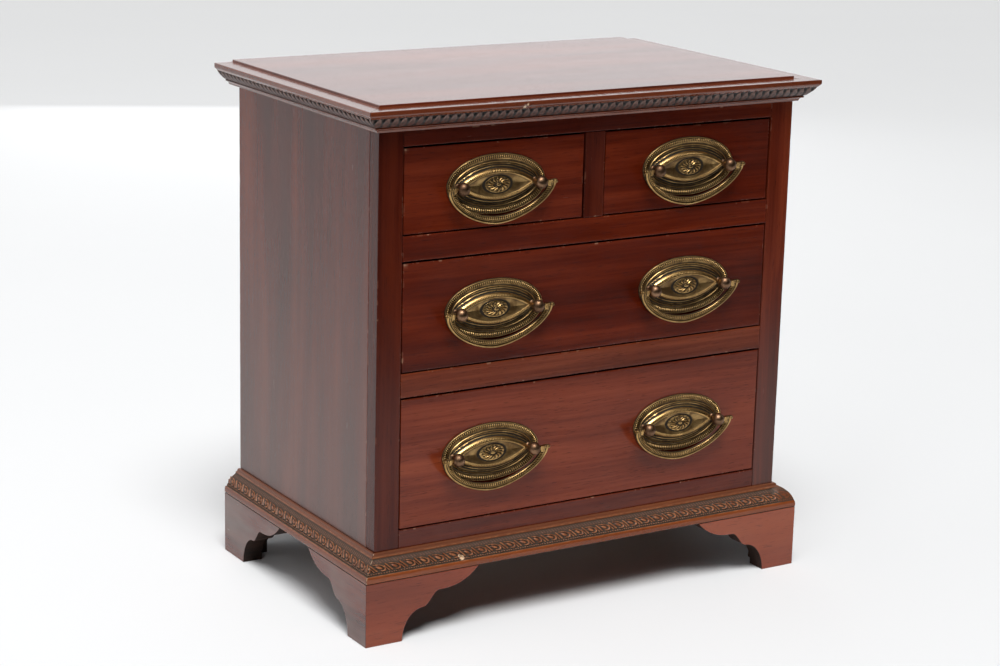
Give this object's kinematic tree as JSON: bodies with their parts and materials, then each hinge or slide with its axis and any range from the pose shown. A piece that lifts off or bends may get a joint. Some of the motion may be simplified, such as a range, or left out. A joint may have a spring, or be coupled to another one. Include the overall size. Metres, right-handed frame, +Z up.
{
  "type": "miniature chest of drawers",
  "caption": "Miniature wooden chest of drawers: short drawers over long ones, carved cornice and base moulding, bracket feet, brass oval plates with swinging bail handles.",
  "frame": {"origin": "on the ground, under the middle of the chest's bounding box", "axes": "+Z up, +X to the right as one faces the drawers, +Y towards the back, so the drawers pull out along -Y"},
  "size_m": [0.375, 0.242, 0.377],
  "materials": {
    "mahogany_polished": "french-polished red-brown mahogany, straight figured grain, rubbed paler along the edges",
    "mahogany_carved": "carved and polished mahogany moulding, dark wax in the hollows, orange-brown on the high parts",
    "secondary_wood": "unpolished secondary timber, matt, aged brown",
    "aged_brass": "stamped brass with an aged lacquer, dark in the recesses and bright on the high parts",
    "worn_brass_ball": "brass post heads worn to a coppery, semi-bright surface"
  },
  "bodies": {
    "carcase": {"side_left": "mahogany_polished", "side_right": "mahogany_polished", "stile_left": "mahogany_polished", "stile_right": "mahogany_polished", "top_board": "mahogany_polished", "cornice_front": "mahogany_carved", "cornice_left": "mahogany_carved", "cornice_right": "mahogany_carved", "rail_top": "mahogany_polished", "rail_upper": "mahogany_polished", "rail_middle": "mahogany_polished", "rail_bottom": "mahogany_polished", "drawer_divider": "mahogany_polished", "base_moulding_front": "mahogany_carved", "base_moulding_left": "mahogany_carved", "base_moulding_right": "mahogany_carved", "foot_front_left": "mahogany_polished", "foot_front_right": "mahogany_polished", "foot_rear_left": "mahogany_polished", "foot_rear_right": "mahogany_polished", "back_panel": "secondary_wood", "bottom_board": "secondary_wood", "dust_board_upper": "secondary_wood", "dust_board_middle": "secondary_wood"},
    "bail_short_left": {"handle_short_left_bail": "aged_brass"},
    "drawer_short_left": {"drawer_short_left_front": "mahogany_polished", "drawer_short_left_box": "secondary_wood", "drawer_short_left_bottom": "secondary_wood", "handle_short_left_plate": "aged_brass", "handle_short_left_post_left": "worn_brass_ball", "handle_short_left_post_right": "worn_brass_ball"},
    "bail_short_right": {"handle_short_right_bail": "aged_brass"},
    "drawer_short_right": {"drawer_short_right_front": "mahogany_polished", "drawer_short_right_box": "secondary_wood", "drawer_short_right_bottom": "secondary_wood", "handle_short_right_plate": "aged_brass", "handle_short_right_post_left": "worn_brass_ball", "handle_short_right_post_right": "worn_brass_ball"},
    "bail_upper_left": {"handle_upper_left_bail": "aged_brass"},
    "bail_upper_right": {"handle_upper_right_bail": "aged_brass"},
    "drawer_upper": {"drawer_upper_front": "mahogany_polished", "drawer_upper_box": "secondary_wood", "drawer_upper_bottom": "secondary_wood", "handle_upper_left_plate": "aged_brass", "handle_upper_left_post_left": "worn_brass_ball", "handle_upper_left_post_right": "worn_brass_ball", "handle_upper_right_plate": "aged_brass", "handle_upper_right_post_left": "worn_brass_ball", "handle_upper_right_post_right": "worn_brass_ball"},
    "bail_lower_left": {"handle_lower_left_bail": "aged_brass"},
    "bail_lower_right": {"handle_lower_right_bail": "aged_brass"},
    "drawer_lower": {"drawer_lower_front": "mahogany_polished", "drawer_lower_box": "secondary_wood", "drawer_lower_bottom": "secondary_wood", "handle_lower_left_plate": "aged_brass", "handle_lower_left_post_left": "worn_brass_ball", "handle_lower_left_post_right": "worn_brass_ball", "handle_lower_right_plate": "aged_brass", "handle_lower_right_post_left": "worn_brass_ball", "handle_lower_right_post_right": "worn_brass_ball"}
  },
  "joints": [
    {"name": "drawer_short_left_slide", "type": "slide", "parent": "carcase", "child": "drawer_short_left", "axis": [0, -1, 0], "range_m": [0, 0.15]},
    {"name": "drawer_short_right_slide", "type": "slide", "parent": "carcase", "child": "drawer_short_right", "axis": [0, -1, 0], "range_m": [0, 0.15]},
    {"name": "drawer_upper_slide", "type": "slide", "parent": "carcase", "child": "drawer_upper", "axis": [0, -1, 0], "range_m": [0, 0.15]},
    {"name": "drawer_lower_slide", "type": "slide", "parent": "carcase", "child": "drawer_lower", "axis": [0, -1, 0], "range_m": [0, 0.15]},
    {"name": "bail_short_left_swing", "type": "hinge", "parent": "drawer_short_left", "child": "bail_short_left", "pos_m": [-0.0808, -0.1148, 0.317], "axis": [-1, 0, 0], "range_deg": [0, 150]},
    {"name": "bail_short_right_swing", "type": "hinge", "parent": "drawer_short_right", "child": "bail_short_right", "pos_m": [0.0808, -0.1148, 0.317], "axis": [-1, 0, 0], "range_deg": [0, 150]},
    {"name": "bail_upper_left_swing", "type": "hinge", "parent": "drawer_upper", "child": "bail_upper_left", "pos_m": [-0.0808, -0.1155, 0.22915], "axis": [-1, 0, 0], "range_deg": [0, 150]},
    {"name": "bail_upper_right_swing", "type": "hinge", "parent": "drawer_upper", "child": "bail_upper_right", "pos_m": [0.0808, -0.1155, 0.22915], "axis": [-1, 0, 0], "range_deg": [0, 150]},
    {"name": "bail_lower_left_swing", "type": "hinge", "parent": "drawer_lower", "child": "bail_lower_left", "pos_m": [-0.0808, -0.1155, 0.12475], "axis": [-1, 0, 0], "range_deg": [0, 150]},
    {"name": "bail_lower_right_swing", "type": "hinge", "parent": "drawer_lower", "child": "bail_lower_right", "pos_m": [0.0808, -0.1155, 0.12475], "axis": [-1, 0, 0], "range_deg": [0, 150]}
  ]
}
